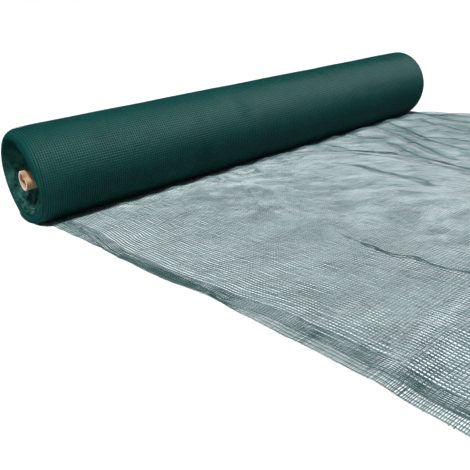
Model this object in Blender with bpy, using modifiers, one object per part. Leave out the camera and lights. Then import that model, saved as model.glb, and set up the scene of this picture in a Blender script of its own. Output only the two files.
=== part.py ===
"""Roll of olive harvesting net: a knitted net wound on a cardboard tube, its loose end laid out on the floor.

Metres. The origin is the point of the floor under the middle of the roll. +X runs along the tube from the
near end to the far end, +Z is up, and the loose net lies towards -Y.
"""

import math
from collections import namedtuple

import bmesh
import bpy

# Driving dimensions
NET_WIDTH = 2.000
WINDING_WANDER = 0.026  # turns don't lie quite above each other: the roll is longer than the net is wide
ROLL_RADIUS = 0.1558
ROLL_SAG = 0.0140  # how far the tube's axis has sunk below the roll's middle
LIP_SLUMP = 0.011  # how far the turns of the roll's lips hang down at the bottom
SLUMP_PLACE = 0.10  # where they hang most, as a share of the way from the roll's surface to the tube
SLUMP_SPREAD = 0.16  # how far this reaches inwards, as the same kind of share
NEAR_DROOP = 0.013  # how far the top of the near end has sunk
DROOP_REACH = 0.055  # how far along the roll it has
DROOP_FROM = 0.050  # radius of the turns that have just begun to sink
DROOP_FULL = 0.130  # and of those that have sunk all the way
HOLLOW_DEPTH = 0.016  # how much deeper the near end's dish is low down in front
HOLLOW_ANGLE = 122  # where it is deepest, in degrees from the top towards the front
HOLLOW_SPREAD = 40  # how far round the end this reaches, in degrees
TUBE_RADIUS = 0.0325
TUBE_WALL = 0.007
TUBE_INSET = 0.011  # how far each end of the tube stands back from the roll's end
NET_THICKNESS = 0.002
WAVE_HEIGHT = 0.0006  # how unevenly the loose net lies where it has no fold
WAVE_LENGTH = 0.045
LAID_LENGTH = 1.600  # from below the roll's axis to the plain end of the loose net
TUCKED_LENGTH = 0.030  # loose net behind the roll's axis, under the roll
GAP = 0.0003  # air between pieces that rest on each other
BORE_CLEARANCE = 0.0004  # air between the tube and the innermost turn
ROOM_USED = 0.6  # share of the room under the roll that the loose net's folds may fill
SHARP_FROM = 40  # degrees between two faces that meet in a sharp edge

ROLL_STEPS = 64
TUBE_STEPS = 32
SHEET_COLUMNS = 50
SHEET_ROWS = 38
ROW_CROWDING = 1.3  # above 1, the rows of the loose net stand closer together near the roll

# Sizes that follow
ROLL_LENGTH = NET_WIDTH + WINDING_WANDER
NEAR_END = -ROLL_LENGTH / 2
REST_HEIGHT = NET_THICKNESS + GAP  # the roll lies on its own loose net
TUBE_AXIS_HEIGHT = ROLL_RADIUS - ROLL_SAG
BORE_RADIUS = TUBE_RADIUS + BORE_CLEARANCE

# The roll's ends are dished: their turns stand back near the tube and swell into a soft lip at the outside.
# A row for each turn that is named: its radius, and how far it stands back from the roll's end.
Turn = namedtuple("Turn", "radius back")
NEAR_TURNS = (
    Turn(BORE_RADIUS, 0.062),
    Turn(0.0500, 0.054),
    Turn(0.0780, 0.038),
    Turn(0.1000, 0.021),
    Turn(0.1140, 0.008),
    Turn(0.1240, 0.0015),
    Turn(0.1330, 0.000),
    Turn(0.1405, 0.0012),
    Turn(0.1468, 0.0045),
    Turn(0.1515, 0.0095),
    Turn(0.1546, 0.0160),
    Turn(ROLL_RADIUS, 0.0245),
)
FAR_TURNS = (
    Turn(BORE_RADIUS, 0.046),
    Turn(0.0520, 0.043),
    Turn(0.0780, 0.034),
    Turn(0.1040, 0.021),
    Turn(0.1240, 0.008),
    Turn(0.1410, 0.002),
    Turn(0.1485, 0.000),
    Turn(0.1530, 0.004),
    Turn(0.1552, 0.010),
    Turn(ROLL_RADIUS, 0.020),
)
# Which turns are in the hollow: the radius of a turn, and its share of the depth.
HOLLOW_TURNS = ((0.060, 0), (0.115, 1), (0.138, 1), (0.150, 0))
LENGTH_STATIONS = (0.03, 0.12, 0.30, 0.50, 0.70, 0.88)  # rings of the surface, as shares of its length

# Dents of the tube's near end. Angles in degrees, clockwise from the top as seen from the near end's side.
Dent = namedtuple("Dent", "angle spread depth reach")
TUBE_DENTS = (
    Dent(angle=50, spread=30, depth=0.0210, reach=0.040),
    Dent(angle=-62, spread=40, depth=0.0030, reach=0.030),
    Dent(angle=168, spread=46, depth=-0.0016, reach=0.026),
)
DENT_FADE = 1.5  # above 1, a dent fades out faster near its mouth
TUBE_RINGS = (0, 0.008, 0.017, 0.027, 0.040)  # how far the rings of the tube's near end stand from its mouth

# The near edge of the loose net wanders a little: a row for each named place, its distance in front of the
# roll's axis and how far the edge lies inside the line of the roll's near end.
EdgePoint = namedtuple("EdgePoint", "front inside")
NEAR_EDGE = (
    EdgePoint(-0.03, 0.033),
    EdgePoint(0.12, 0.034),
    EdgePoint(0.30, 0.040),
    EdgePoint(0.55, 0.036),
    EdgePoint(0.70, 0.035),
    EdgePoint(0.80, 0.040),
    EdgePoint(0.92, 0.051),
    EdgePoint(1.04, 0.043),
    EdgePoint(1.16, 0.039),
    EdgePoint(1.20, 0.040),
    EdgePoint(1.38, 0.033),
    EdgePoint(1.48, 0.020),
    EdgePoint(1.60, 0.014),
)
FAR_EDGE = (
    EdgePoint(-0.03, 0.034),
    EdgePoint(0.13, 0.050),
    EdgePoint(0.30, 0.052),
    EdgePoint(0.60, 0.038),
    EdgePoint(1.00, 0.026),
    EdgePoint(1.60, 0.016),
)

# The main folds of the loose net. Each is a soft ridge from its start to its end: along is measured from the
# roll's near end, front from the roll's axis towards the loose net.
Fold = namedtuple("Fold", "along front to_along to_front height width")
FOLDS = (
    Fold(2.05, 0.12, 2.03, 0.56, 0.012, 0.040),
    Fold(2.03, 0.08, 1.87, 0.50, 0.007, 0.040),
    Fold(1.89, 0.20, 1.71, 0.58, 0.006, 0.036),
    Fold(1.77, 0.10, 1.40, 0.76, 0.008, 0.036),
    Fold(1.66, 0.10, 1.26, 0.79, 0.009, 0.036),
    Fold(1.44, 0.32, 1.17, 0.90, 0.008, 0.038),
    Fold(1.16, 0.28, 1.14, 0.95, 0.010, 0.036),
    Fold(1.04, 0.38, 0.97, 1.02, 0.004, 0.036),
    Fold(0.49, 0.90, 0.45, 1.34, 0.003, 0.036),
    Fold(0.05, 1.38, 0.40, 1.33, 0.004, 0.036),
    Fold(0.14, 1.16, 0.38, 1.24, 0.003, 0.038),
    Fold(1.05, 1.12, 1.42, 1.48, 0.003, 0.046),
    Fold(1.66, 0.96, 1.92, 1.40, 0.003, 0.046),
)
FOLD_END = 0.45  # height of a fold at its ends, as a share of its height in the middle

# Where the loose net puckers up in front of the roll, along a line this far in front of the roll's axis.
Pucker = namedtuple("Pucker", "along height width")
PUCKERS = (
    Pucker(0.28, 0.003, 0.060),
    Pucker(0.66, 0.004, 0.055),
    Pucker(0.84, 0.005, 0.050),
    Pucker(1.00, 0.006, 0.050),
    Pucker(1.18, 0.008, 0.048),
    Pucker(1.36, 0.010, 0.050),
    Pucker(1.56, 0.013, 0.055),
    Pucker(1.78, 0.013, 0.060),
    Pucker(1.93, 0.011, 0.050),
)
PUCKER_FRONT = 0.132
PUCKER_STRETCH = 0.6  # below 1, a pucker is longer towards the front than it is wide


def clear_scene():
    """Start from nothing, whatever scene the file had."""
    for thing in list(bpy.data.objects):
        bpy.data.objects.remove(thing, do_unlink=True)


def make_collection(name):
    """A collection of the object's own."""
    collection = bpy.data.collections.new(name)
    bpy.context.scene.collection.children.link(collection)
    return collection


def make_material(name, colour, roughness):
    """A plain material: colour, roughness and nothing metallic."""
    material = bpy.data.materials.new(name)
    material.use_nodes = True
    shader = material.node_tree.nodes["Principled BSDF"]
    shader.inputs["Base Color"].default_value = (*colour, 1)
    shader.inputs["Roughness"].default_value = roughness
    shader.inputs["Metallic"].default_value = 0
    return material


def finish(thing, collection, material):
    """Give a piece its material and put it in the object's collection."""
    for old in list(thing.users_collection):
        old.objects.unlink(thing)
    collection.objects.link(thing)
    thing.data.materials.clear()
    thing.data.materials.append(material)
    thing.data.shade_smooth()
    thing.data.set_sharp_from_angle(angle=math.radians(SHARP_FROM))
    return thing


def bell(distance, width):
    """A soft hump, 1 in its middle and nearly 0 at twice its width."""
    return math.exp(-((distance / width) ** 2))


def between(points, place):
    """Read a table of two columns at any place, in straight steps between its rows."""
    low, high = points[0], points[-1]
    for low, high in zip(points, points[1:]):
        if place <= high[0]:
            break
    share = (place - low[0]) / (high[0] - low[0])
    return low[1] + (high[1] - low[1]) * min(max(share, 0), 1)


def turn_about_x(name, outline, steps):
    """Turn a closed outline of (x, radius) points about the X axis, and return it as a mesh object."""
    mesh = bpy.data.meshes.new(name)
    edges = [(i, (i + 1) % len(outline)) for i in range(len(outline))]
    mesh.from_pydata([(x, 0, radius) for x, radius in outline], edges, [])
    thing = bpy.data.objects.new(name, mesh)
    bpy.context.scene.collection.objects.link(thing)
    screw = thing.modifiers.new("turn", "SCREW")
    screw.axis = "X"
    screw.steps = steps
    screw.render_steps = steps
    screw.use_merge_vertices = True
    screw.merge_threshold = 0.0001
    graph = bpy.context.evaluated_depsgraph_get()
    turned = bpy.data.meshes.new_from_object(thing.evaluated_get(graph))
    thing.modifiers.clear()
    thing.data = turned
    bpy.data.meshes.remove(mesh)
    turned.name = name
    outward = bmesh.new()
    outward.from_mesh(turned)
    bmesh.ops.recalc_face_normals(outward, faces=outward.faces)
    outward.to_mesh(turned)
    outward.free()
    return thing


def roll_outline():
    """Half of the roll cut lengthwise: out along the near end, along the surface, in along the far end."""
    near = [(NEAR_END + turn.back, turn.radius) for turn in NEAR_TURNS]
    surface = [(NEAR_END + share * ROLL_LENGTH, ROLL_RADIUS) for share in LENGTH_STATIONS]
    far = [(-NEAR_END - turn.back, turn.radius) for turn in reversed(FAR_TURNS)]
    return near + surface + far


def sinking(x, z, radius):
    """How far the roll's own weight has pulled a place of it down. z is measured from the roll's middle."""
    inner = (ROLL_RADIUS - radius) / (ROLL_RADIUS - BORE_RADIUS)
    below = max(0, -z / radius)
    slump = LIP_SLUMP * below**2 * bell(inner - SLUMP_PLACE, SLUMP_SPREAD)
    outer = min(max((radius - DROOP_FROM) / (DROOP_FULL - DROOP_FROM), 0), 1)
    above = max(0, z / radius) * outer
    droop = NEAR_DROOP * above**2 * max(0, 1 - (x - NEAR_END) / DROOP_REACH) ** 2
    return ROLL_SAG * inner + slump + droop


def hollow(y, z, radius):
    """How much further back a place of the near end stands because the dish is deeper low down in front."""
    angle = math.degrees(math.atan2(-y, z))
    return HOLLOW_DEPTH * bell(angle - HOLLOW_ANGLE, HOLLOW_SPREAD) * between(HOLLOW_TURNS, radius)


def make_net_roll():
    """The wound net: a turned form with dished ends, sagged over the tube and flattened where it rests."""
    roll = turn_about_x("net_roll", roll_outline(), ROLL_STEPS)
    for vertex in roll.data.vertices:
        x, y, z = vertex.co
        radius = math.hypot(y, z)
        if x < 0:
            x += hollow(y, z, radius)
        height = ROLL_RADIUS + z - sinking(x, z, radius)
        vertex.co = (x, y, max(height, REST_HEIGHT))
    return roll


def tube_outline():
    """Half of the tube cut lengthwise, with rings close together at the near end for the dents."""
    near, far = NEAR_END + TUBE_INSET, -NEAR_END - TUBE_INSET
    outside = [(near + along, TUBE_RADIUS) for along in TUBE_RINGS]
    inside = [(x, TUBE_RADIUS - TUBE_WALL) for x, _ in reversed(outside)]
    return outside + [(far, TUBE_RADIUS), (far, TUBE_RADIUS - TUBE_WALL)] + inside


def dent_depth(angle, along):
    """How far the tube's wall is pushed in at an angle in degrees, this far from the tube's near end."""
    depth = 0
    for dent in TUBE_DENTS:
        turned = (angle - dent.angle + 180) % 360 - 180
        fade = max(0, 1 - along / dent.reach) ** DENT_FADE
        depth += dent.depth * bell(turned, dent.spread) * fade
    return depth


def make_core_tube():
    """The cardboard tube, its near end dented."""
    tube = turn_about_x("core_tube", tube_outline(), TUBE_STEPS)
    for vertex in tube.data.vertices:
        angle = math.degrees(math.atan2(-vertex.co.y, vertex.co.z))
        radius = math.hypot(vertex.co.y, vertex.co.z)
        pushed = radius - dent_depth(angle, vertex.co.x - NEAR_END - TUBE_INSET)
        vertex.co.y *= pushed / radius
        vertex.co.z = vertex.co.z * pushed / radius + TUBE_AXIS_HEIGHT
    return tube


def ridge_height(fold, along, front):
    """Height of one fold at a place: a bell across its line, fading out over its ends."""
    run_along, run_front = fold.to_along - fold.along, fold.to_front - fold.front
    length = math.hypot(run_along, run_front)
    share = ((along - fold.along) * run_along + (front - fold.front) * run_front) / length**2
    on_line = min(max(share, 0), 1)
    away = math.hypot(
        along - fold.along - on_line * run_along, front - fold.front - on_line * run_front
    )
    swell = FOLD_END + (1 - FOLD_END) * math.sin(math.pi * on_line)
    return fold.height * swell * bell(away, fold.width)


def room_under_roll(front):
    """How high the loose net may stand before it meets the roll above it."""
    if abs(front) >= ROLL_RADIUS:
        return 2 * ROLL_RADIUS
    surface = ROLL_RADIUS - math.sqrt(ROLL_RADIUS**2 - front**2)
    return max(0, ROOM_USED * (surface - LIP_SLUMP - REST_HEIGHT) - NET_THICKNESS)


def net_height(along, front):
    """Height of the loose net's underside above the floor."""
    height = WAVE_HEIGHT * (1 + math.sin(along / WAVE_LENGTH) * math.cos(front / WAVE_LENGTH))
    height += sum(ridge_height(fold, along, front) for fold in FOLDS)
    for pucker in PUCKERS:
        away = math.hypot(along - pucker.along, PUCKER_STRETCH * (front - PUCKER_FRONT))
        height += pucker.height * bell(away, pucker.width)
    return min(height, room_under_roll(front))


def make_net_sheet():
    """The loose net: a grid laid to the net's edges, lifted into its folds, with its thickness on top."""
    bpy.ops.mesh.primitive_grid_add(x_subdivisions=SHEET_COLUMNS, y_subdivisions=SHEET_ROWS, size=1)
    sheet = bpy.context.object
    sheet.name = sheet.data.name = "net_sheet"
    for vertex in sheet.data.vertices:
        across, down = vertex.co.x + 0.5, 0.5 - vertex.co.y
        front = (TUCKED_LENGTH + LAID_LENGTH) * down**ROW_CROWDING - TUCKED_LENGTH
        near_side = between(NEAR_EDGE, front)
        far_side = NET_WIDTH + between(FAR_EDGE, front)
        along = near_side + across * (far_side - near_side)
        vertex.co = (NEAR_END + along, -front, net_height(along, front))
    solid = sheet.modifiers.new("thickness", "SOLIDIFY")
    solid.thickness = NET_THICKNESS
    solid.offset = 1
    return sheet


def main():
    clear_scene()
    collection = make_collection("olive_net_roll")
    wound = make_material("wound_net", (0.012, 0.070, 0.062), 0.75)
    loose = make_material("loose_net", (0.150, 0.270, 0.245), 0.80)
    cardboard = make_material("cardboard", (0.420, 0.270, 0.160), 0.90)
    finish(make_net_roll(), collection, wound)
    finish(make_core_tube(), collection, cardboard)
    finish(make_net_sheet(), collection, loose)


main()
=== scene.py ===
# %% [markdown]
# # A roll of olive harvesting net
#
# The net is spread under olive trees to catch the fruit. It is knitted from thin green threads, two metres
# wide, and sold wound on a cardboard tube. Here the roll lies on the floor with its loose end pulled out.
#
# The frame holds the solid parts at their real size. Everything below dresses them: we read the frame, and we
# keep its box.

import math
from collections import namedtuple

import bpy
import numpy as np
from mathutils import Matrix, Vector, noise


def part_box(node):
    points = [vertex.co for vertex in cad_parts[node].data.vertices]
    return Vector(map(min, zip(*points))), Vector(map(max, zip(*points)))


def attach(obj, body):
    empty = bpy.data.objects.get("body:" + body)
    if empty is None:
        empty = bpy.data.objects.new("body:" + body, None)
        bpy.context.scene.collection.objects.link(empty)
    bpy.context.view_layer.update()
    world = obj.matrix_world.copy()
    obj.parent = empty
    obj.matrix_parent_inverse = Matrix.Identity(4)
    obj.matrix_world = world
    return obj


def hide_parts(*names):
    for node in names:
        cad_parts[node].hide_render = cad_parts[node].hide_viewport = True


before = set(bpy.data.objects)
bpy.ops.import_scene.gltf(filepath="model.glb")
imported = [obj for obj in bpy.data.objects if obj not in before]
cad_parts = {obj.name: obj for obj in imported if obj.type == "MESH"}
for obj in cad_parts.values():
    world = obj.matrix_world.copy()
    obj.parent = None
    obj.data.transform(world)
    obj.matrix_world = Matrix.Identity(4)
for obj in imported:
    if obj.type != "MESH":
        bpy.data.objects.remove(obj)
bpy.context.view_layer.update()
bpy.ops.object.select_all(action="DESELECT")

roll_low, roll_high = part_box("net_roll")
sheet_low, sheet_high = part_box("net_sheet")
tube_low, tube_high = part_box("core_tube")
print("roll from", roll_low, "to", roll_high)

# %% [markdown]
# The sizes that the pieces share come from the frame where it has them. The others are the net's own: its
# threads cross every 8 mm, and they are flat strips, 1 to 3 mm wide. Along both edges the net has a selvedge,
# an open strip at the very edge and then a denser band.

# %% Shared sizes
NEAR_END = roll_low[0]
ROLL_LENGTH = roll_high[0] - roll_low[0]
FAR_END = NEAR_END + ROLL_LENGTH
ROLL_RADIUS = roll_high[2] / 2
ROLL_SAG = 0.0140  # the tube's axis is this much below the roll's middle
REST_HEIGHT = roll_low[2]
TUBE_RADIUS = (tube_high[1] - tube_low[1]) / 2
TUBE_AXIS_HEIGHT = ROLL_RADIUS - ROLL_SAG
LAID_LENGTH = -sheet_low[1]
TUCKED_LENGTH = sheet_high[1]
NET_WIDTH = 2.0

LENGTHWISE_PITCH = 0.0080
CROSSWISE_PITCH = 0.0083
EDGE_STRIP = 0.027
DENSE_BAND = 0.034
print(f"the roll is {ROLL_LENGTH:.3f} m long and {2 * ROLL_RADIUS:.3f} m thick")


# %% [markdown]
# ## How the loose net lies
#
# A net on a floor isn't flat. It keeps long creases from the roll, it puckers where it comes out below the
# roll, and its edge wanders. We could let a simulation crumple it, but then the creases would fall anywhere,
# and the ones we can see have places. So each crease is a row in a table: the points that it runs through,
# measured from the roll's near end and from the roll's axis, its height, and its width. A crease also gathers
# the net from both sides, so its threads stand closer together along the crest and a little wider beside it.

# %% The creases
Crease = namedtuple("Crease", "points height width gather")
CREASES = (
    Crease(((2.05, 0.10), (2.04, 0.30), (2.02, 0.56)), 0.014, 0.034, 0.0),
    Crease(((2.03, 0.08), (1.95, 0.24), (1.90, 0.36), (1.87, 0.50)), 0.0075, 0.023, 0.76),
    Crease(((1.89, 0.20), (1.79, 0.36), (1.71, 0.58)), 0.0065, 0.022, 0.74),
    Crease(((1.77, 0.07), (1.66, 0.29), (1.56, 0.43), (1.48, 0.56), (1.40, 0.76)), 0.0080, 0.024, 0.80),
    Crease(((1.66, 0.18), (1.60, 0.30), (1.545, 0.46), (1.56, 0.60), (1.53, 0.70)), 0.0060, 0.021, 0.74),
    Crease(((1.66, 0.07), (1.56, 0.26), (1.45, 0.46), (1.35, 0.62), (1.26, 0.79)), 0.0100, 0.025, 0.80),
    Crease(((1.50, 0.07), (1.455, 0.20), (1.45, 0.29), (1.48, 0.36)), 0.0060, 0.021, 0.74),
    Crease(((1.44, 0.32), (1.34, 0.48), (1.27, 0.59), (1.20, 0.74), (1.17, 0.90)), 0.0090, 0.025, 0.80),
    Crease(((1.33, 0.03), (1.38, 0.15), (1.42, 0.26)), 0.0060, 0.020, 0.65),
    Crease(((1.27, 0.15), (1.25, 0.25), (1.21, 0.34), (1.205, 0.46), (1.21, 0.58)), 0.0060, 0.020, 0.76),
    Crease(((1.05, 0.10), (1.11, 0.19), (1.16, 0.28), (1.21, 0.38), (1.215, 0.55), (1.20, 0.75),
            (1.14, 0.95)), 0.0120, 0.023, 0.76),
    Crease(((1.035, 0.36), (1.04, 0.53), (1.01, 0.69), (0.99, 0.80), (0.97, 0.90)), 0.0040, 0.018, 0.52),
    Crease(((0.497, 0.87), (0.476, 0.96), (0.455, 1.11), (0.466, 1.16), (0.457, 1.20), (0.466, 1.29),
            (0.448, 1.36)), 0.0030, 0.017, 0.78),
    Crease(((0.05, 1.376), (0.19, 1.352), (0.40, 1.332)), 0.004, 0.026, 0.30),
    Crease(((0.14, 1.160), (0.26, 1.180), (0.38, 1.245)), 0.0022, 0.030, 0.20),
    Crease(((0.565, 0.68), (0.575, 0.80), (0.655, 0.90)), 0.0008, 0.012, 0.35),
    Crease(((0.40, 0.525), (0.57, 0.540)), 0.0008, 0.014, 0.25),
    Crease(((1.05, 1.12), (1.24, 1.32), (1.42, 1.48)), 0.003, 0.036, 0.0),
    Crease(((1.66, 0.96), (1.80, 1.18), (1.92, 1.40)), 0.003, 0.036, 0.0),
)
PULL_REACH = 1.1  # how far a crease gathers the net, as a share of its width
STRAY = 0.007
STRAY_GRAIN = 0.07
STRENGTH, STRENGTH_CHANGE = 0.8, 0.7
STRENGTH_GRAIN = 0.13

# %% [markdown]
# The puckers stand in a row in front of the roll, each with its place along it. Two tables say how the net's
# edges wander: the near one is measured from the roll's near end, and the far one from the net's width past
# it. A third says how far the near edge's open strip is turned under: all the way at 1. The wrinkles are
# small and lie all over the net, slanting across it.

# %% The puckers, the edges and the wrinkles
Pucker = namedtuple("Pucker", "along height width")
PUCKERS = (
    Pucker(0.285, 0.007, 0.025), Pucker(0.39, 0.004, 0.026), Pucker(0.495, 0.009, 0.027),
    Pucker(0.65, 0.008, 0.030), Pucker(0.80, 0.009, 0.045), Pucker(0.95, 0.012, 0.036),
    Pucker(1.03, 0.008, 0.042), Pucker(1.18, 0.009, 0.044), Pucker(1.36, 0.010, 0.050),
    Pucker(1.56, 0.013, 0.055), Pucker(1.78, 0.013, 0.060), Pucker(1.93, 0.011, 0.050),
)
PUCKER_FRONT = 0.132
PUCKER_STRETCH = 0.6  # below 1, a pucker is longer towards the front than it is wide
EDGE_IN = ((-0.03, 0.033), (0.12, 0.034), (0.30, 0.040), (0.55, 0.036), (0.70, 0.035), (0.80, 0.040),
           (0.92, 0.051), (1.04, 0.043), (1.16, 0.039), (1.20, 0.040), (1.38, 0.033), (1.48, 0.020),
           (1.60, 0.014))
EDGE_OUT = ((-0.03, 0.034), (0.13, 0.050), (0.30, 0.052), (0.60, 0.038), (1.00, 0.026), (1.60, 0.016))
TUCK = ((0.20, 0.0), (0.76, 1.0), (0.80, 1.0), (1.12, 0.0))
DRAWN_WITHIN = 0.25  # how far in the net gives way to the strip that is turned under
LAID_LIFT = 0.0008  # the net lies this much above that strip
WANDER = 0.0028
WANDER_GRAIN = 0.05
Wrinkle = namedtuple("Wrinkle", "length width height shift")
WRINKLES = (Wrinkle(0.110, 0.060, 0.0015, 0.0022), Wrinkle(0.036, 0.020, 0.0011, 0.0020))
WRINKLE_TURN = math.radians(40)
WRINKLE_LEVEL = 0.3  # the higher this is, the less flat net is left between the wrinkles
CALM_EDGE = 0.1  # towards an edge the wrinkles shift the threads less, from this far in
STITCH_SHIFT = 0.0018
STITCH_GRAIN = 0.08
print(len(CREASES), "creases and", len(PUCKERS), "puckers")

# %% [markdown]
# One function says where each point of the net lies. Its helpers are small: a hump, a pull that gets weaker
# with the distance, the way to a line, and smooth random numbers. These numbers also make each crease stray
# a little from its line and change its strength on the way, because a straight, even crease looks drawn.

# %% Where the net lies
def bell(distance, width):
    """A soft hump, 1 in its middle."""
    return np.exp(-((distance / width) ** 2))


def pull(distance, width):
    """How much of a crease's pull reaches this far: 1 at the crease, and never quite nothing."""
    return 1 / (1 + (distance / width) ** 2)


def between_ends(share):
    """A crease's strength along its line: 1 in the middle, and nothing at both ends."""
    return np.sin(np.pi * np.clip(share, 0, 1)) ** 0.5


def from_table(rows, place):
    """What a table of (place, value) rows says for a place."""
    return np.interp(place, *zip(*rows))


def along_line(points, along, front):
    """How far each place is from a line through points, in which direction, and at what share of the line."""
    nearest = np.full(np.shape(along), np.inf)
    off_along, off_front, share_of = (np.zeros_like(nearest) for _ in range(3))
    lengths = [math.dist(a, b) for a, b in zip(points, points[1:])]
    passed = 0.0
    for (a0, f0), (a1, f1), length in zip(points, points[1:], lengths):
        run = np.array((a1 - a0, f1 - f0)) / length
        on = np.clip((along - a0) * run[0] + (front - f0) * run[1], 0, length)
        off_a, off_f = along - a0 - on * run[0], front - f0 - on * run[1]
        away = np.hypot(off_a, off_f)
        closer = away < nearest
        nearest = np.where(closer, away, nearest)
        off_along, off_front = np.where(closer, off_a, off_along), np.where(closer, off_f, off_front)
        share_of = np.where(closer, (passed + on) / sum(lengths), share_of)
        passed += length
    return nearest, off_along, off_front, share_of


def unevenness(x, y, z, grain, seed):
    """A smooth random number from about -1 to 1 for each place."""
    points = np.stack(np.broadcast_arrays(x, y, z), axis=-1) / grain + seed
    return np.array([noise.noise(Vector(point)) for point in points])


ROOM_USED = 0.6
SLUMP_ROOM = 0.0133  # what the roll's slump and its rest height take
NET_THICKNESS = 0.002


def room_under_roll(front):
    """How high the net may stand before it meets the roll above it."""
    inside = np.clip(ROLL_RADIUS**2 - front**2, 0, None)
    surface = np.where(np.abs(front) < ROLL_RADIUS, ROLL_RADIUS - np.sqrt(inside), 1.0)
    return np.clip(ROOM_USED * (surface - SLUMP_ROOM) - NET_THICKNESS, 0, None)


def course(along, front):
    """How far the creases stray from their drawn lines at each place, and how strong they are there."""
    stray = STRAY * unevenness(along, front, 0, grain=STRAY_GRAIN, seed=7.7)
    return stray, STRENGTH + STRENGTH_CHANGE * unevenness(along, front, 0, grain=STRENGTH_GRAIN, seed=2.2)


def spread(across, front):
    """How far from the roll's near end each point lies, and by what angle it is turned under."""
    turned = np.pi * from_table(TUCK, front)
    near = from_table(EDGE_IN, front) + WANDER * unevenness(front, 0, 0, grain=WANDER_GRAIN, seed=3.3)
    far = NET_WIDTH + from_table(EDGE_OUT, front)
    drawn = EDGE_STRIP * np.minimum(1 - np.cos(turned), 1) * bell(across, DRAWN_WITHIN)
    turned = turned * (across < EDGE_STRIP)
    outside = np.clip(EDGE_STRIP - across, 0, None)
    return near + across / NET_WIDTH * (far - near) - drawn + outside * (1 - np.cos(turned)), turned


def lie(across, front):
    """Where a point of the net lies: across from its near edge, front of the roll's axis."""
    along, turned = spread(across, front)
    x, y, z = NEAR_END + along, -front, LAID_LIFT * (turned < 1)
    length = along * math.cos(WRINKLE_TURN) + front * math.sin(WRINKLE_TURN)
    breadth = front * math.cos(WRINKLE_TURN) - along * math.sin(WRINKLE_TURN)
    inside = np.clip(across * (NET_WIDTH - across) / (NET_WIDTH * CALM_EDGE), 0, 1)
    for wrinkle in WRINKLES:
        squeezed = length * wrinkle.width / wrinkle.length
        hump = unevenness(squeezed, breadth, 0, grain=wrinkle.width, seed=4.1)
        z = z + wrinkle.height * np.clip(WRINKLE_LEVEL + hump, 0, None)
        shift = wrinkle.shift * inside * unevenness(squeezed, breadth, 0, grain=wrinkle.width, seed=11.3)
        x = x - shift * math.sin(WRINKLE_TURN)
        y = y - shift * math.cos(WRINKLE_TURN)
    # Stretched by the grain, the noise differs from thread to thread and still runs smoothly along each one.
    x = x + STITCH_SHIFT * unevenness(across / STITCH_GRAIN, front, 0, grain=STITCH_GRAIN, seed=5.9)
    y = y + STITCH_SHIFT * unevenness(across, front / STITCH_GRAIN, 0, grain=STITCH_GRAIN, seed=9.4)
    stray, strength = course(along, front)
    for crease in CREASES:
        away, off_along, off_front, share = along_line(crease.points, along + stray, front)
        fading = strength * between_ends(share)
        z = z + crease.height * fading * bell(away, crease.width)
        gather = crease.gather * fading * pull(away, PULL_REACH * crease.width)
        x = x - gather * off_along
        y = y + gather * off_front
    for pucker in PUCKERS:
        away = np.hypot(along - pucker.along, PUCKER_STRETCH * (front - PUCKER_FRONT))
        z = z + pucker.height * bell(away, pucker.width)
    return x, y, np.minimum(z, room_under_roll(front))


middle = lie(np.array([NET_WIDTH / 2]), np.array([LAID_LENGTH / 2]))
print("the middle of the net lies at", [round(float(value[0]), 3) for value in middle])

# %% [markdown]
# ## Threads
#
# Every thread is the same kind of thing: a thin strip that follows a path, flat below and with a low ridge on
# top. A beveled curve would do, but it would put a section at every point, and the loose net alone has about
# 800 m of thread, which would become millions of faces. So we lay three-sided threads ourselves, and leave
# out each point of a path that lies on the straight line between its neighbours.

# %% A helper that lays threads
FLAT_WITHIN = 0.00048
LONGEST_STEP = 16


def straightened(path):
    """Which points of a path it bends at."""
    kept, start = [0], 0
    while start < len(path) - 1:
        end = min(start + LONGEST_STEP, len(path) - 1)
        while end > start + 1:
            chord = path[end] - path[start]
            inner = path[start + 1:end] - path[start]
            on = inner @ chord / (chord @ chord)
            if np.linalg.norm(inner - on[:, None] * chord, axis=1).max() < FLAT_WITHIN:
                break
            end -= max(1, (end - start) // 4)
        kept.append(end)
        start = end
    return kept


def thread_shape(path, up, width, height, closed=False):
    """A three-sided thread on a path: its points and faces. up is one direction, or one for each point."""
    count = len(path)
    if closed:
        run = np.roll(path, -1, axis=0) - np.roll(path, 1, axis=0)
    else:
        run = np.gradient(path, axis=0)
    side = np.cross(run, up)
    side *= width / 2 / np.linalg.norm(side, axis=1)[:, None]
    rise = np.broadcast_to(up, path.shape) * height
    points = np.stack((path - side, path + side, path + rise), axis=1).reshape(-1, 3)
    first = np.arange(count if closed else count - 1) * 3
    after = (first + 3) % (3 * count)
    sides = ((0, 1), (1, 2), (2, 0))
    faces = [np.stack((first + b, first + a, after + a, after + b), axis=1) for a, b in sides]
    faces = np.concatenate(faces).tolist()
    if not closed:
        faces += [[0, 1, 2], [3 * count - 1, 3 * count - 2, 3 * count - 3]]
    return points, faces


def make_threads(name, shapes, finishes):
    """One object of many threads. finishes has one number for each thread, the place of its material."""
    all_points, all_faces, taken = [], [], 0
    for points, faces in shapes:
        all_points.append(points)
        all_faces += [[corner + taken for corner in face] for face in faces]
        taken += len(points)
    mesh = bpy.data.meshes.new(name)
    mesh.from_pydata(np.concatenate(all_points).tolist(), [], all_faces)
    mesh.polygons.foreach_set("material_index", np.repeat(finishes, [len(faces) for _, faces in shapes]))
    thing = bpy.data.objects.new(name, mesh)
    bpy.context.scene.collection.objects.link(thing)
    print(name, len(shapes), "threads,", sum(len(face) - 2 for face in all_faces), "triangles")
    return thing


# %% [markdown]
# ## The loose net
#
# Lengthwise threads run along the net, away from the roll, and crosswise threads tie them together. Along
# both edges the net has a selvedge, so that it can be pulled without tearing: an open strip at the very edge,
# then a band where the lengthwise threads stand nearly twice as close. In the open strip one more crosswise
# thread runs between every two, and its cut end stands out from the edge, each by a little more or less.

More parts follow.
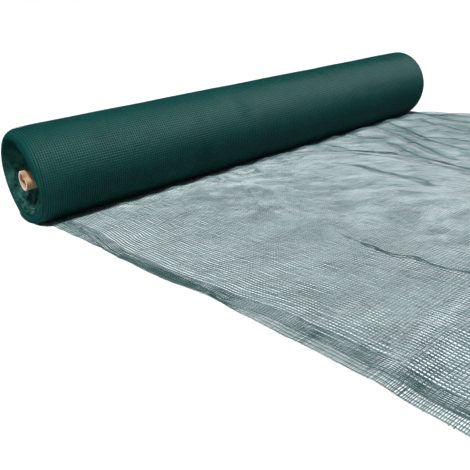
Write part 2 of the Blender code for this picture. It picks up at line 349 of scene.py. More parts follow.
# %% The loose net
STRIP_PLACES = (0.0, 0.009, 0.018)
BAND_PITCH = 0.0045
BAND_GAP = 0.003
LENGTHWISE_WIDTH = 0.0028
SELVEDGE_WIDTH = 0.0020
STRIP_WIDTH = 0.0011
CROSSWISE_WIDTH = 0.0014
LENGTHWISE_HEIGHT = 0.0010
CROSSWISE_HEIGHT = 0.0007
LENGTHWISE_LIFT, CROSSWISE_LIFT, FRAY_LIFT = 0.0009, 0.0006, 0.0005
LENGTHWISE_POINTS, CROSSWISE_POINTS, FRAY_POINTS = 280, 501, 6
LONGEST_FRAY = 0.0028
UP = np.array((0.0, 0.0, 1.0))


def lengthwise_places():
    """Where the lengthwise threads cross the net, from its near edge to its far edge."""
    band = np.arange(EDGE_STRIP, EDGE_STRIP + DENSE_BAND, BAND_PITCH)
    selvedge = np.concatenate((STRIP_PLACES, band))
    first = EDGE_STRIP + DENSE_BAND + BAND_GAP
    middle = np.linspace(first, NET_WIDTH - first, round((NET_WIDTH - 2 * first) / LENGTHWISE_PITCH) + 1)
    return np.concatenate((selvedge, middle, NET_WIDTH - selvedge[::-1]))


def in_selvedge(across):
    """Whether a lengthwise thread belongs to the selvedge."""
    return min(across, NET_WIDTH - across) < EDGE_STRIP + DENSE_BAND


def lengthwise_width(across):
    """A lengthwise thread is thinner in the selvedge, and thinnest in the open strip."""
    if min(across, NET_WIDTH - across) < EDGE_STRIP:
        return STRIP_WIDTH
    return SELVEDGE_WIDTH if in_selvedge(across) else LENGTHWISE_WIDTH


def laid_thread(across, front, lift, width, height):
    """One thread of the loose net, through places given by two rows of numbers, lifted off the floor."""
    path = np.stack(lie(across, front), axis=1)
    path[:, 2] += lift
    return thread_shape(path[straightened(path)], UP, width, height)


fronts = np.linspace(-TUCKED_LENGTH, LAID_LENGTH, round((LAID_LENGTH + TUCKED_LENGTH) / CROSSWISE_PITCH))
shapes = []
finishes = [int(in_selvedge(across)) for across in lengthwise_places()]
for across in lengthwise_places():
    steps = np.linspace(-TUCKED_LENGTH, LAID_LENGTH, LENGTHWISE_POINTS)
    shapes.append(laid_thread(np.full_like(steps, across), steps,
                              LENGTHWISE_LIFT, lengthwise_width(across), LENGTHWISE_HEIGHT))
for front in fronts:
    steps = np.linspace(0, NET_WIDTH, CROSSWISE_POINTS)
    shapes.append(laid_thread(steps, np.full_like(steps, front),
                              CROSSWISE_LIFT, CROSSWISE_WIDTH, CROSSWISE_HEIGHT))
frays = np.random.default_rng(5).uniform(0, LONGEST_FRAY, (len(fronts) - 1, 2))
for front, (near_fray, far_fray) in zip((fronts[1:] + fronts[:-1]) / 2, frays):
    for start, end in ((-near_fray, EDGE_STRIP), (NET_WIDTH - EDGE_STRIP, NET_WIDTH + far_fray)):
        steps = np.linspace(start, end, FRAY_POINTS)
        shapes.append(laid_thread(steps, np.full_like(steps, front),
                                  FRAY_LIFT, CROSSWISE_WIDTH, CROSSWISE_HEIGHT))
finishes += [0] * len(fronts) + [1] * 2 * (len(fronts) - 1)
loose_net = make_threads("loose_net", shapes, finishes)

# %% [markdown]
# In a tight crease several threads lie on each other and shade each other, so it reads as a dark line. That
# shade is painted into the threads' colour. The near selvedge gets painted shade too, as far as its open
# strip is turned under. We write down for each point of the net how much painted shade it gets, and the net's
# finish reads that later.

# %% How much painted shade each point of the net gets
# Painted shade: a narrow dark line on each crease, a soft broad shade beside it, and more on the doubled
# strip.
SHADE_LINE_WIDTH = 0.009
SHADE_WIDTH = 0.050
SHADE_DEPTH = 0.22
DOUBLED_SHADE_DEPTH = 0.55
DOUBLED_PAST_BAND = 0.005


def places_of(thing):
    """The points of a mesh, one row for each."""
    flat = np.empty(len(thing.data.vertices) * 3)
    thing.data.vertices.foreach_get("co", flat)
    return flat.reshape(-1, 3)


x, y, z = places_of(loose_net).T
stray, strength = course(x - NEAR_END, -y)
depth = np.zeros_like(x)
for crease in CREASES:
    away, _, _, share = along_line(crease.points, x - NEAR_END + stray, -y)
    fading = np.clip(strength, 0, 1) * between_ends(share)
    shape = (1 - SHADE_DEPTH) * bell(away, SHADE_LINE_WIDTH) + SHADE_DEPTH * bell(away, SHADE_WIDTH)
    depth = 1 - (1 - depth) * (1 - crease.gather * fading * shape)
from_edge = x - NEAR_END - from_table(EDGE_IN, -y)
doubled_shade = from_table(TUCK, -y) * (from_edge < DENSE_BAND + DOUBLED_PAST_BAND)
depth = 1 - (1 - depth) * (1 - DOUBLED_SHADE_DEPTH * doubled_shade)
# The painted shade goes on the net as an attribute.
loose_net.data.attributes.new("painted_shade", "FLOAT", "POINT").data.foreach_set("value", depth)
print("deepest", round(depth.max(), 2))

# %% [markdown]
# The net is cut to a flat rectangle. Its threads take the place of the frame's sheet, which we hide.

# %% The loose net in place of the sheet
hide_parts("net_sheet")
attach(loose_net, "root")

# %% [markdown]
# ## The wound net
#
# Inside the roll the turns lie so close that no light passes, so the roll is a closed body. It's a turned
# form: half of its outline, spun about the tube's axis. At both ends the turns stand back near the tube and
# swell into a soft lip. No two turns end at quite the same place, which gives the ends their fine, uneven
# grooves, so we draw the outline as a zigzag with one tooth for each few turns.

# %% The outline of the roll
Turn = namedtuple("Turn", "radius back")
NEAR_TURNS = (Turn(0.0332, 0.062), Turn(0.050, 0.054), Turn(0.078, 0.038), Turn(0.100, 0.021),
              Turn(0.114, 0.008), Turn(0.124, 0.0015), Turn(0.133, 0.000), Turn(0.1400, 0.0012),
              Turn(0.1464, 0.0042), Turn(0.1511, 0.0090), Turn(0.1540, 0.0155), Turn(0.1550, 0.0240))
FAR_TURNS = (Turn(0.0332, 0.046), Turn(0.052, 0.043), Turn(0.078, 0.034), Turn(0.104, 0.021),
             Turn(0.124, 0.008), Turn(0.141, 0.002), Turn(0.1485, 0.000), Turn(0.153, 0.004),
             Turn(0.1547, 0.010), Turn(0.1550, 0.020))
TOOTH = 0.0026
TOOTH_DEPTH = 0.0022
TOOTHED_OUT_TO = 0.1250
BODY_RADIUS = 0.1550
STATIONS = 19
STATION_INSET = 0.09
SPIN_STEPS = 168


def end_outline(turns):
    """The outline of one end as (back, radius) points: teeth as far as the lip, then the lip itself."""
    radii = np.arange(turns[0].radius, TOOTHED_OUT_TO, TOOTH / 2)
    teeth = np.where(np.arange(len(radii)) % 2, TOOTH_DEPTH, 0.0)
    backs = np.interp(radii, [turn.radius for turn in turns], [turn.back for turn in turns]) + teeth
    lip = [(turn.back, turn.radius) for turn in turns if turn.radius > TOOTHED_OUT_TO]
    return list(zip(backs, radii)) + lip


near_outline = [(NEAR_END + back, radius) for back, radius in end_outline(NEAR_TURNS)]
far_outline = [(FAR_END - back, radius) for back, radius in reversed(end_outline(FAR_TURNS))]
stations = np.linspace(NEAR_END + STATION_INSET, FAR_END - STATION_INSET, STATIONS)
roll_outline = near_outline + [(x, BODY_RADIUS) for x in stations] + far_outline
print(len(roll_outline), "points in the outline")


# %% [markdown]
# Spin turns a closed outline about an axis, in edit mode. The tube's outline is closed. The roll's gets its
# last edge from its far end to its near one, and that edge becomes the bore, hidden round the tube.

# %% A helper that spins an outline
MERGE_WITHIN = 0.00005


def spun(name, outline, steps):
    """Spin a closed outline of (x, radius) points about the X axis."""
    mesh = bpy.data.meshes.new(name)
    edges = [(i, (i + 1) % len(outline)) for i in range(len(outline))]
    mesh.from_pydata([(x, 0, radius) for x, radius in outline], edges, [])
    thing = bpy.data.objects.new(name, mesh)
    bpy.context.scene.collection.objects.link(thing)
    bpy.ops.object.select_all(action="DESELECT")
    thing.select_set(True)
    bpy.context.view_layer.objects.active = thing
    bpy.ops.object.mode_set(mode="EDIT")
    bpy.ops.mesh.select_all(action="SELECT")
    bpy.ops.mesh.spin(steps=steps, angle=2 * math.pi, center=(0, 0, 0), axis=(1, 0, 0))
    bpy.ops.mesh.select_all(action="SELECT")
    bpy.ops.mesh.remove_doubles(threshold=MERGE_WITHIN)
    bpy.ops.mesh.normals_make_consistent(inside=False)
    bpy.ops.object.mode_set(mode="OBJECT")
    bpy.ops.object.shade_smooth()
    return thing


def put_places(thing, places):
    """Move the points of a mesh to new places."""
    thing.data.vertices.foreach_set("co", places.ravel())
    thing.data.update()


wound_net = spun("wound_net", roll_outline, SPIN_STEPS)
print("wound_net", len(wound_net.data.polygons), "faces")

# %% [markdown]
# A wound net is soft. Its weight presses it flat where it rests, and the stiff tube sinks into it, so the
# tube's axis lies a little low. The lips hang down at the bottom, the top of the near end droops, and low
# down in front that end has a hollow where it was pushed in. The ends are uneven: broad dents, and grooves
# that run round with the turns. All of this is small against the roll, and it makes it look like cloth.

# %% The roll sags
LIP_SLUMP = 0.011
SLUMP_PLACE, SLUMP_SPREAD = 0.10, 0.16  # as shares of the way from the skin to the bore
NEAR_DROOP = 0.013
DROOP_REACH = 0.055
DROOP_FROM, DROOP_OVER = 0.05, 0.08  # the radius where the droop begins, and what it takes to be full
BORE_RADIUS = 0.0329
FLOOR_GAP = 0.0002
HOLLOW_DEPTH = 0.016
HOLLOW_ANGLE, HOLLOW_SPREAD = 122, 40  # degrees, from the top towards the front
HOLLOW_TURNS = ((0.060, 0.0), (0.115, 1.0), (0.138, 1.0), (0.150, 0.0))  # its depth at each radius
UNEVEN_FROM, UNEVEN_OVER = 0.036, 0.02
UNEVEN_FADE = 0.012
DENT_DEPTH, DENT_GRAIN = 0.0060, 0.030
GROOVE_DEPTH, GROOVE_GRAIN = 0.0030, 0.020
SWELL, SWELL_GRAIN = 0.0012, 0.16
SWOLLEN_FROM = 0.12


def sagged(x, y, z):
    """Where a point of a straight roll about the X axis comes to lie when the roll rests on the floor."""
    radius = np.hypot(y, z)
    inner = (ROLL_RADIUS - radius) / (ROLL_RADIUS - BORE_RADIUS)
    below = np.clip(-z / radius, 0, None)
    slump = LIP_SLUMP * below**2 * bell(inner - SLUMP_PLACE, SLUMP_SPREAD)
    above = np.clip(z / radius, 0, None) * np.clip((radius - DROOP_FROM) / DROOP_OVER, 0, 1)
    droop = NEAR_DROOP * above**2 * np.clip(1 - (x - NEAR_END) / DROOP_REACH, 0, 1) ** 2
    height = ROLL_RADIUS + z - ROLL_SAG * inner - slump - droop
    return np.stack((x, y, np.maximum(height, REST_HEIGHT + FLOOR_GAP)), axis=-1)


def swollen(x, y, z, radius):
    """How many times as far from the axis a point of the skin lies as on an even roll."""
    return 1 + SWELL / radius * unevenness(x, y, z, grain=SWELL_GRAIN, seed=1.3)


x, y, z = places_of(wound_net).T
radius = np.hypot(y, z)
at_end = (np.clip((radius - UNEVEN_FROM) / UNEVEN_OVER, 0, 1)
          * np.clip((TOOTHED_OUT_TO - radius) / UNEVEN_FADE, 0, 1))
outward = np.where(x < 0, -1.0, 1.0)
# The noise is stretched, so that a dent goes through many turns, and a groove changes from turn to turn.
dents = unevenness(x * 0.2, y, z, grain=DENT_GRAIN, seed=3.7) * DENT_DEPTH
grooves = unevenness(radius * 9, y * 0.5, z * 0.5, grain=GROOVE_GRAIN, seed=8.1) * GROOVE_DEPTH
x = x + outward * at_end * (dents + grooves)
angle = np.degrees(np.arctan2(-y, z))
hollow = HOLLOW_DEPTH * bell(angle - HOLLOW_ANGLE, HOLLOW_SPREAD) * from_table(HOLLOW_TURNS, radius)
x = x + hollow * (x < 0)
swell = np.where(radius > SWOLLEN_FROM, swollen(x, y, z, radius), 1.0)
put_places(wound_net, sagged(x, y * swell, z * swell))
print(f"the top of the roll is {places_of(wound_net)[:, 2].max():.3f} m above the floor")
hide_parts("net_roll")
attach(wound_net, "root")

# %% [markdown]
# ## The outer turn
#
# The last turn of the roll shows the net itself. Its lengthwise threads run round the roll as rings, and its
# crosswise threads run along it, from one lip to the other. They are laid just above the body with the same
# helper as the loose net. Each place is found by its way along the roll's outline.

# %% The outer turn
RING_STEPS = 72
RING_WIDTH, RING_HEIGHT = 0.0020, 0.0003
ALONG_WIDTH, ALONG_HEIGHT = 0.0016, 0.0002
SKIN = 0.0002  # how far above the body the threads lie
LIP_FROM = 5  # the turn that the lip begins with
LIP_WAY = 0.05  # over the lips the threads bend more, so they get more points there
FIRST_RING = 0.032
THREADS_FROM = 0.026
RING_WANDER = 0.0010
ALONG_WANDER = 0.004  # an angle
skin = [(NEAR_END + turn.back, turn.radius) for turn in NEAR_TURNS[LIP_FROM:]]
skin += [(FAR_END - turn.back, turn.radius) for turn in reversed(FAR_TURNS[LIP_FROM:])]
skin = np.array(skin)
skin_steps = np.hypot(*np.diff(skin, axis=0).T)
skin_way = np.concatenate(([0], np.cumsum(skin_steps)))
skin_length = skin_way[-1]
corner_turns = np.diff(skin, axis=0) / skin_steps[:, None]
normals = np.stack((-corner_turns[:, 1], corner_turns[:, 0]), axis=1)
corner_normals = np.vstack((normals[:1], normals[1:] + normals[:-1], normals[-1:]))


def on_roll(way, angle):
    """A place on the roll's skin, and the direction that points away from it there."""
    x, radius = (np.interp(way, skin_way, column) for column in skin.T)
    tilt, out = (np.interp(way, skin_way, column) for column in corner_normals.T)
    length = np.hypot(tilt, out)
    tilt, out = tilt / length, out / length
    x, radius = x + SKIN * tilt, radius + SKIN * out
    y, z = -radius * np.sin(angle), radius * np.cos(angle)
    swell = swollen(x, y, z, radius)
    away = np.stack(np.broadcast_arrays(tilt, -out * np.sin(angle), out * np.cos(angle)), axis=-1)
    return sagged(x, y * swell, z * swell), away


turn_threads = []
around = np.linspace(0, 2 * math.pi, RING_STEPS, endpoint=False)
for way in np.arange(FIRST_RING, skin_length, LENGTHWISE_PITCH):
    path, away = on_roll(way + RING_WANDER * np.sin(2 * around + 9 * way), around)
    turn_threads.append(thread_shape(path, away, RING_WIDTH, RING_HEIGHT, closed=True))
way = np.concatenate((np.linspace(THREADS_FROM, LIP_WAY, 8),
                      np.linspace(LIP_WAY, skin_length - LIP_WAY, 240)[1:-1],
                      np.linspace(skin_length - LIP_WAY, skin_length, 14)))
count = round(2 * math.pi * BODY_RADIUS / CROSSWISE_PITCH)
for angle in np.arange(count) * 2 * math.pi / count:
    path, away = on_roll(way, angle + ALONG_WANDER * np.sin(7 * way + 3 * angle))
    picked = straightened(path)
    turn_threads.append(thread_shape(path[picked], away[picked], ALONG_WIDTH, ALONG_HEIGHT))
outer_turn = make_threads("outer_turn", turn_threads, [0] * len(turn_threads))
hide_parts("net_roll")
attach(outer_turn, "root")

# %% [markdown]
# ## The cardboard tube
#
# The tube is wound from strips of brown paper. Its near end has been knocked in, so its mouth isn't round. It
# could be a cylinder primitive, but the dents need rings close together at that end, so it's spun as well.

# %% The tube
TUBE_WALL = 0.007
TUBE_INSET = 0.011
TUBE_STEPS = 96
RIM_BEVEL = 0.0006
Dent = namedtuple("Dent", "angle spread depth reach")
TUBE_DENTS = (
    Dent(angle=50, spread=30, depth=0.0210, reach=0.040),
    Dent(angle=-62, spread=40, depth=0.0030, reach=0.030),
    Dent(angle=168, spread=46, depth=-0.0016, reach=0.026),
)
CRUMPLE, CRUMPLE_GRAIN = 0.0005, 0.007
CRUMPLE_REACH = 0.02
RIM_CRUMPLE, RIM_WITHIN = 0.0009, 0.001
# How far along the tube its rings stand: two at the rim, many over the dents, few over the rest.
rings_at = [0, 0.0008] + list(np.linspace(0.003, 0.045, 18)) + list(np.linspace(0.08, 1.92, 12))
tube_near = NEAR_END + TUBE_INSET
tube_far = FAR_END - TUBE_INSET
outside = [(tube_near + along, TUBE_RADIUS) for along in rings_at] + [(tube_far, TUBE_RADIUS)]
inside = [(x, TUBE_RADIUS - TUBE_WALL) for x, _ in reversed(outside)]
outside[0] = (tube_near, TUBE_RADIUS - RIM_BEVEL)
inside[-1] = (tube_near, TUBE_RADIUS - TUBE_WALL + RIM_BEVEL)
core = spun("core", outside + inside, TUBE_STEPS)

x, y, z = places_of(core).T
angle = np.degrees(np.arctan2(-y, z))
radius = np.hypot(y, z)
along = x - tube_near
pushed = radius.copy()
for dent in TUBE_DENTS:
    turned = (angle - dent.angle + 180) % 360 - 180
    pushed -= dent.depth * bell(turned, dent.spread) * np.clip(1 - along / dent.reach, 0, None) ** 1.5
crumpled = unevenness(x, y, z, grain=CRUMPLE_GRAIN, seed=5.5) * np.clip(1 - along / CRUMPLE_REACH, 0, 1)
pushed += CRUMPLE * crumpled
x = x + RIM_CRUMPLE * crumpled * (along < RIM_WITHIN)
put_places(core, np.stack((x, y * pushed / radius, z * pushed / radius + TUBE_AXIS_HEIGHT), axis=1))
print("core", len(core.data.polygons), "faces")
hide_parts("core_tube")
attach(core, "root")

# %% [markdown]
# ## Finishes
#
# The net is plastic: dark green threads, a little shiny. On the roll the turns below show between the threads
# of the outer one, so the body's colour has a net of its own, out of step with the threads. Every finish
# reads the place on the object, so nothing slides or stretches.

# %% A helper for materials
def add_node(tree, kind, inputs=None, **settings):
    """Add a node. Each input gets a plain value, or the output socket of another node."""
    added = tree.nodes.new(kind)
    for name, value in settings.items():
        setattr(added, name, value)
    for name, value in (inputs or {}).items():
        if isinstance(value, bpy.types.NodeSocket):
            tree.links.new(value, added.inputs[name])
        else:
            added.inputs[name].default_value = value
    return added


def calculate(tree, operation, *values):
    """The result of one Math node."""
    return add_node(tree, "ShaderNodeMath", dict(enumerate(values)), operation=operation).outputs[0]


def mixed(tree, share, first, second):
    """A colour between two others."""
    inputs = {"Factor": share, 6: first, 7: second}
    return add_node(tree, "ShaderNodeMix", inputs, data_type="RGBA").outputs[2]


def grain(tree, place, scale, detail=2.0, roughness=0.5):
    """Soft random shades of grey."""
    inputs = {"Vector": place, "Scale": scale, "Detail": detail, "Roughness": roughness}
    return add_node(tree, "ShaderNodeTexNoise", inputs).outputs["Fac"]


def steeper(tree, value, low, high):
    """Spread the shades from low to high over the whole range from 0 to 1."""
    inputs = {"Value": value, "From Min": low, "From Max": high}
    return add_node(tree, "ShaderNodeMapRange", inputs).outputs["Result"]


def split(tree, vector):
    """The three numbers of a place or a direction."""
    return add_node(tree, "ShaderNodeSeparateXYZ", {0: vector}).outputs


def new_material(name, roughness, specular=0.5):
    """A material with its shader and the place on the object."""
    material = bpy.data.materials.new(name)
    material.use_nodes = True
    tree = material.node_tree
    shader = tree.nodes["Principled BSDF"]
    shader.inputs["Roughness"].default_value = roughness
    shader.inputs["Specular IOR Level"].default_value = specular
    place = add_node(tree, "ShaderNodeTexCoord").outputs["Object"]
    return material, tree, shader, place


def roughen(tree, shader, height, distance, strength):
    """Give a surface its fine relief."""
    inputs = {"Height": height, "Distance": distance, "Strength": strength}
    tree.links.new(add_node(tree, "ShaderNodeBump", inputs).outputs[0], shader.inputs["Normal"])


# %% [markdown]
# A thread's tone changes along it, in short patches and in long ones, and it has a fine twist. In a crease
# and on the doubled near strip a darker green is painted in as shade, as much as the net's attribute says.

# %% The threads
PAINTED_SHADE_GREEN = (0.010, 0.044, 0.041, 1)
THREAD_TINT = (0.85, 1.00, 0.92, 1)
LOOSE_SHADES = (0.040, 0.092, 0.092, 1), (0.225, 0.325, 0.322, 1)
SELVEDGE_SHADES = (0.036, 0.092, 0.087, 1), (0.080, 0.152, 0.145, 1)
WOUND_SHADES = (0.002, 0.046, 0.041, 1), (0.008, 0.070, 0.062, 1)


def thread_material(name, shades, roughness, specular):
    """Green plastic thread, between a dark shade and a light one."""
    material, tree, shader, place = new_material(name, roughness, specular)
    shader.inputs["Specular Tint"].default_value = THREAD_TINT
    short = steeper(tree, grain(tree, place, scale=70.0), low=0.38, high=0.62)
    long = steeper(tree, grain(tree, place, scale=9.0, detail=3.0), low=0.35, high=0.65)
    share = calculate(tree, "MULTIPLY", calculate(tree, "ADD", short, long), 0.5)
    # Painted shade of the creases and of the doubled strip, read from the net's attribute.
    painted_shade = add_node(tree, "ShaderNodeAttribute", attribute_name="painted_shade").outputs["Fac"]
    colour = mixed(tree, painted_shade, mixed(tree, share, *shades), PAINTED_SHADE_GREEN)
    tree.links.new(colour, shader.inputs["Base Color"])
    twist = grain(tree, place, scale=900.0, detail=1.0)
    roughen(tree, shader, twist, distance=0.0003, strength=0.6)
    return material


loose_thread = thread_material("loose_thread", LOOSE_SHADES, roughness=0.50, specular=0.3)
selvedge_thread = thread_material("selvedge_thread", SELVEDGE_SHADES, roughness=0.50, specular=0.3)
loose_net.data.materials.append(loose_thread)
loose_net.data.materials.append(selvedge_thread)
wound_thread = thread_material("wound_thread", WOUND_SHADES, roughness=0.32, specular=0.65)
outer_turn.data.materials.append(wound_thread)
print("threads finished:", loose_thread.name, selvedge_thread.name, wound_thread.name)

# %% [markdown]
# The body's finish is the net of the turns below: soft stripes along the roll and round it, which drift a
# little, and which are stronger in some places than in others. The body itself has no shine.

# %% The wound turns
BODY_SHADES = (0.004, 0.035, 0.032, 1), (0.009, 0.064, 0.058, 1)
STRIPE_DRIFT = 0.02


def lines(tree, value, pitch, shift):
    """Soft stripes, one for each pitch: 1 in a stripe's middle and 0 between two."""
    turned = calculate(tree, "MULTIPLY_ADD", value, 2 * math.pi / pitch, shift)
    return steeper(tree, calculate(tree, "COSINE", turned), low=0.1, high=0.9)


material, tree, shader, place = new_material("wound_turns", roughness=0.50, specular=0.0)
along_axis, to_back, upward = split(tree, place)
above_axis = calculate(tree, "SUBTRACT", upward, ROLL_RADIUS)
turned_by = calculate(tree, "ARCTAN2", to_back, above_axis)
drift = calculate(tree, "MULTIPLY", grain(tree, place, scale=5.0), STRIPE_DRIFT)
ring_lines = lines(tree, calculate(tree, "ADD", along_axis, drift), LENGTHWISE_PITCH, shift=1.0)
long_lines = lines(tree, calculate(tree, "ADD", turned_by, drift), CROSSWISE_PITCH / BODY_RADIUS, shift=2.0)
net_below = calculate(tree, "MAXIMUM", ring_lines, long_lines)
blotch = steeper(tree, grain(tree, place, scale=22.0, detail=3.0), low=0.3, high=0.7)
share = calculate(tree, "MULTIPLY", net_below, calculate(tree, "MULTIPLY_ADD", blotch, 0.6, 0.3))
tree.links.new(mixed(tree, share, *BODY_SHADES), shader.inputs["Base Color"])
relief = calculate(tree, "ADD", net_below, grain(tree, place, scale=400.0))
roughen(tree, shader, relief, distance=0.0006, strength=0.7)
wound_net.data.materials.append(material)
print("body finished:", material.name)

# %% [markdown]
# The ends of the roll are the edges of its turns. Their colour holds painted light: lighter patches, painted
# stronger low down and fading to dark higher up, and nearly black between the patches, which is painted
# shade.

# %% The edges of the turns
EDGE_SHADE_AND_LIGHT = (0.002, 0.021, 0.018, 1), (0.060, 0.185, 0.155, 1)
PAINTED_SHADE_FROM, PAINTED_LIGHT_FROM = 0.26, 0.10  # heights above the floor
EDGES_WITHIN = 0.07  # how far from the roll's ends

material, tree, shader, place = new_material("turn_edges", roughness=0.60, specular=0.0)
painted_light_patches = steeper(tree, grain(tree, place, scale=32.0, detail=3.0, roughness=0.6), low=0.35, high=0.70)
fibres = steeper(tree, grain(tree, place, scale=240.0), low=0.3, high=0.7)
share = calculate(tree, "MULTIPLY", painted_light_patches, calculate(tree, "MULTIPLY_ADD", fibres, 0.5, 0.5))
# Painted light and shade: lighter low down, darker higher up.
share = calculate(tree, "MULTIPLY", share, steeper(tree, split(tree, place)[2], PAINTED_SHADE_FROM, PAINTED_LIGHT_FROM))
tree.links.new(mixed(tree, share, *EDGE_SHADE_AND_LIGHT), shader.inputs["Base Color"])
roughen(tree, shader, fibres, distance=0.0010, strength=0.8)
wound_net.data.materials.append(material)
edge_faces = 0
for face in wound_net.data.polygons:
    out = math.hypot(face.center.y, face.center.z - ROLL_RADIUS)
    face.material_index = int(abs(face.center.x) > FAR_END - EDGES_WITHIN and out < TOOTHED_OUT_TO)
    edge_faces += face.material_index
print(edge_faces, "faces at the ends")

# %% [markdown]
# The tube has three finishes: brown paper outside with the spiral seam of its last strip, pinkish paper
# inside, with shade painted in from a little way in, and the pale cut edge between them, where the layers of
# paper show.

# %% The cardboard
BROWN_PAPER, INNER_PAPER, CUT_EDGE = range(3)
BROWN_SHADES = (0.36, 0.21, 0.11, 1), (0.52, 0.34, 0.20, 1)
INNER_SHADES = (0.42, 0.22, 0.15, 1), (0.62, 0.38, 0.28, 1)
CUT_SHADES = (0.60, 0.50, 0.42, 1), (0.82, 0.74, 0.66, 1)
SEAM_BROWN = (0.20, 0.12, 0.07, 1)
# Painted shade inside the tube, where little light reaches.
PAINTED_SHADE_BROWN = (0.05, 0.025, 0.02, 1)
SEAM_PITCH = 0.11
PAINTED_SHADE_DEPTH = 0.030
RIM_SLOPE = 0.6  # a face that turns towards the tube's end more than this is part of the cut edge
FOLDED_IN = 0.024  # but not in the dent, where the wall is pushed in to here


def cardboard(name, shades, seam=False, deep=None):
    """Paper with flecks and fibres. It can have its strip's seam, and a painted shade for deep in the tube.
    """
    material, tree, shader, place = new_material(name, roughness=0.85)
    fibres = steeper(tree, grain(tree, place, scale=260.0, detail=4.0, roughness=0.6), low=0.35, high=0.65)
    stains = steeper(tree, grain(tree, place, scale=30.0, detail=3.0), low=0.3, high=0.7)
    share = calculate(tree, "MULTIPLY_ADD", fibres, 0.35, calculate(tree, "MULTIPLY", stains, 0.65))
    colour = mixed(tree, share, *shades)
    height = fibres
    along_tube, to_back, upward = split(tree, place)
    if deep:
        # Painted shade: the inner paper darkens from the mouth inward.
        colour = mixed(tree, steeper(tree, along_tube, tube_near, tube_near + PAINTED_SHADE_DEPTH), colour, deep)
    if seam:
        above = calculate(tree, "SUBTRACT", upward, TUBE_AXIS_HEIGHT)
        turned = calculate(tree, "ARCTAN2", to_back, above)
        spiral = calculate(tree, "MULTIPLY_ADD", along_tube, 2 * math.pi / SEAM_PITCH, turned)
        line = steeper(tree, calculate(tree, "COSINE", spiral), low=0.9985, high=0.9999)
        colour = mixed(tree, line, colour, SEAM_BROWN)
        height = calculate(tree, "SUBTRACT", fibres, line)
    tree.links.new(colour, shader.inputs["Base Color"])
    roughen(tree, shader, height, distance=0.0003, strength=0.5)
    return material


core.data.materials.append(cardboard("brown_paper", BROWN_SHADES, seam=True))
core.data.materials.append(cardboard("inner_paper", INNER_SHADES, deep=PAINTED_SHADE_BROWN))
core.data.materials.append(cardboard("cut_edge", CUT_SHADES))
for face in core.data.polygons:
    y, z = face.center.y, face.center.z - TUBE_AXIS_HEIGHT
    if abs(face.normal.x) > RIM_SLOPE and math.hypot(y, z) >= FOLDED_IN:
        face.material_index = CUT_EDGE
    elif face.normal.y * y + face.normal.z * z < 0:
        face.material_index = INNER_PAPER
    else:
        face.material_index = BROWN_PAPER
print("the tube has", [material.name for material in core.data.materials])

# %% [markdown]
# ## The stage
#
# The photograph is a studio picture on white. The floor is a wide pale plane without shine.

# %% The floor
FLOOR_WIDTH = 60
FLOOR_HEIGHT = -0.0002  # just below the frame's floor, so that the two don't flicker
FLOOR_SHADES = (0.80, 0.80, 0.80, 1), (0.83, 0.83, 0.83, 1)
bpy.ops.object.select_all(action="DESELECT")
bpy.ops.mesh.primitive_plane_add(size=FLOOR_WIDTH, location=(0, 0, FLOOR_HEIGHT))
floor = bpy.context.object
floor.name = "floor"
material, tree, shader, place = new_material("pale_floor", roughness=0.9, specular=0.0)
tint = mixed(tree, grain(tree, place, scale=3.0), *FLOOR_SHADES)
tree.links.new(tint, shader.inputs["Base Color"])
floor.data.materials.append(material)
floor.visible_glossy = False
print("floor", floor.dimensions.x, "m wide")

# %% [markdown]
# A sun from above, and a little from the front and the near end, gives the light and the shadow by the roll.
# A wide softbox, high up in front of the far end, shows only in the shine of the threads, and draws the pale
# band along the roll. A weak, low light in front lifts what would be black.

# %% The lamps
SUN_FROM = Vector((-0.40, -0.52, 1.5))
sun_data = bpy.data.lights.new("key", "SUN")
sun_data.energy = 4.6
sun_data.color = (0.96, 1.0, 1.03)
sun_data.angle = math.radians(3)
sun = bpy.data.objects.new("key", sun_data)
sun.visible_glossy = False
sun.rotation_euler = SUN_FROM.to_track_quat("Z", "Y").to_euler()
bpy.context.scene.collection.objects.link(sun)


def area_lamp(name, size, energy, location, tilt):
    """A rectangular lamp that shines down at a tilt of 0 degrees, and towards the back at 90."""
    data = bpy.data.lights.new(name, "AREA")
    data.shape = "RECTANGLE"
    data.size, data.size_y = size
    data.energy = energy
    lamp = bpy.data.objects.new(name, data)
    lamp.location = location
    lamp.rotation_euler = (math.radians(tilt), 0, 0)
    bpy.context.scene.collection.objects.link(lamp)
    return lamp


softbox = area_lamp("softbox", size=(6.5, 3.4), energy=200, location=(2.6, -1.75, 2.5), tilt=37)
softbox.visible_diffuse = False
fill = area_lamp("fill", size=(4.0, 0.4), energy=8, location=(0, -3.5, 0.30), tilt=90)
fill.visible_glossy = False
print("lamps:", sun.name, softbox.name, fill.name)

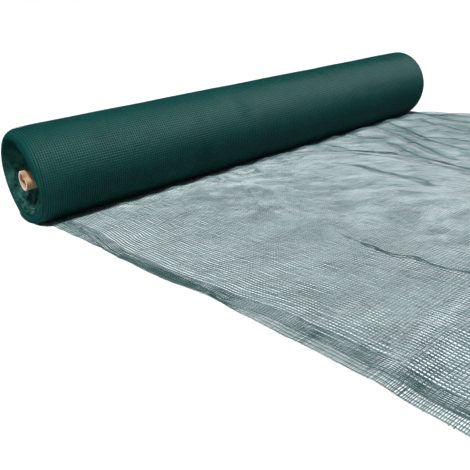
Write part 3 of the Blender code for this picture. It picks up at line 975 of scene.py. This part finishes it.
# %% [markdown]
# The sky is dark grey, so that the lower half of the roll stays dark, with a white band low down behind the
# roll, which the threads of the net reflect. The camera alone sees a white sky everywhere.

# %% The sky
WHITE = (1.0, 1.0, 1.0, 1)
LOW_SKY = (0.03, 0.03, 0.03, 1)
HIGH_SKY = (0.06, 0.06, 0.06, 1)
world = bpy.data.worlds.new("studio")
bpy.context.scene.world = world
world.use_nodes = True
tree = world.node_tree
_, backward, upward = split(tree, add_node(tree, "ShaderNodeTexCoord").outputs["Generated"])
backdrop = calculate(tree, "MULTIPLY", steeper(tree, backward, 0.1, 0.5), steeper(tree, upward, 0.13, 0.08))
sky = mixed(tree, steeper(tree, upward, 0.2, 0.9), LOW_SKY, HIGH_SKY)
sky = mixed(tree, backdrop, sky, WHITE)
sky = mixed(tree, steeper(tree, upward, -0.20, -0.05), LOW_SKY, sky)
seen = add_node(tree, "ShaderNodeLightPath").outputs["Is Camera Ray"]
tree.links.new(mixed(tree, seen, sky, WHITE), tree.nodes["Background"].inputs["Color"])

bpy.context.scene.view_settings.view_transform = "Standard"
bpy.context.scene.view_settings.look = "None"
print("sky:", world.name)

# %% [markdown]
# The camera stands a little over half a metre high, in front of the roll's near end, and looks down along it.
# Its place, its directions and its lens are those that put the model's outlines on the photograph's.

# %% The camera
PHOTO_SIDE = 470
FOCAL_PIXELS = 578.43
CAMERA_PLACE = (-1.5962, -1.8647, 0.5536)
CAMERA_RIGHT = Vector((0.7644, -0.6357, -0.1071))
CAMERA_UP = Vector((0.3002, 0.2040, 0.9318))
camera_data = bpy.data.cameras.new("camera")
camera_data.sensor_width = 36
camera_data.lens = FOCAL_PIXELS * camera_data.sensor_width / PHOTO_SIDE
camera = bpy.data.objects.new("camera", camera_data)
turn = Matrix((CAMERA_RIGHT, CAMERA_UP, CAMERA_RIGHT.cross(CAMERA_UP))).transposed()
camera.matrix_world = Matrix.Translation(CAMERA_PLACE) @ turn.to_4x4()
bpy.context.scene.collection.objects.link(camera)
bpy.context.scene.camera = camera
print(f"a lens of {camera_data.lens:.1f} mm")
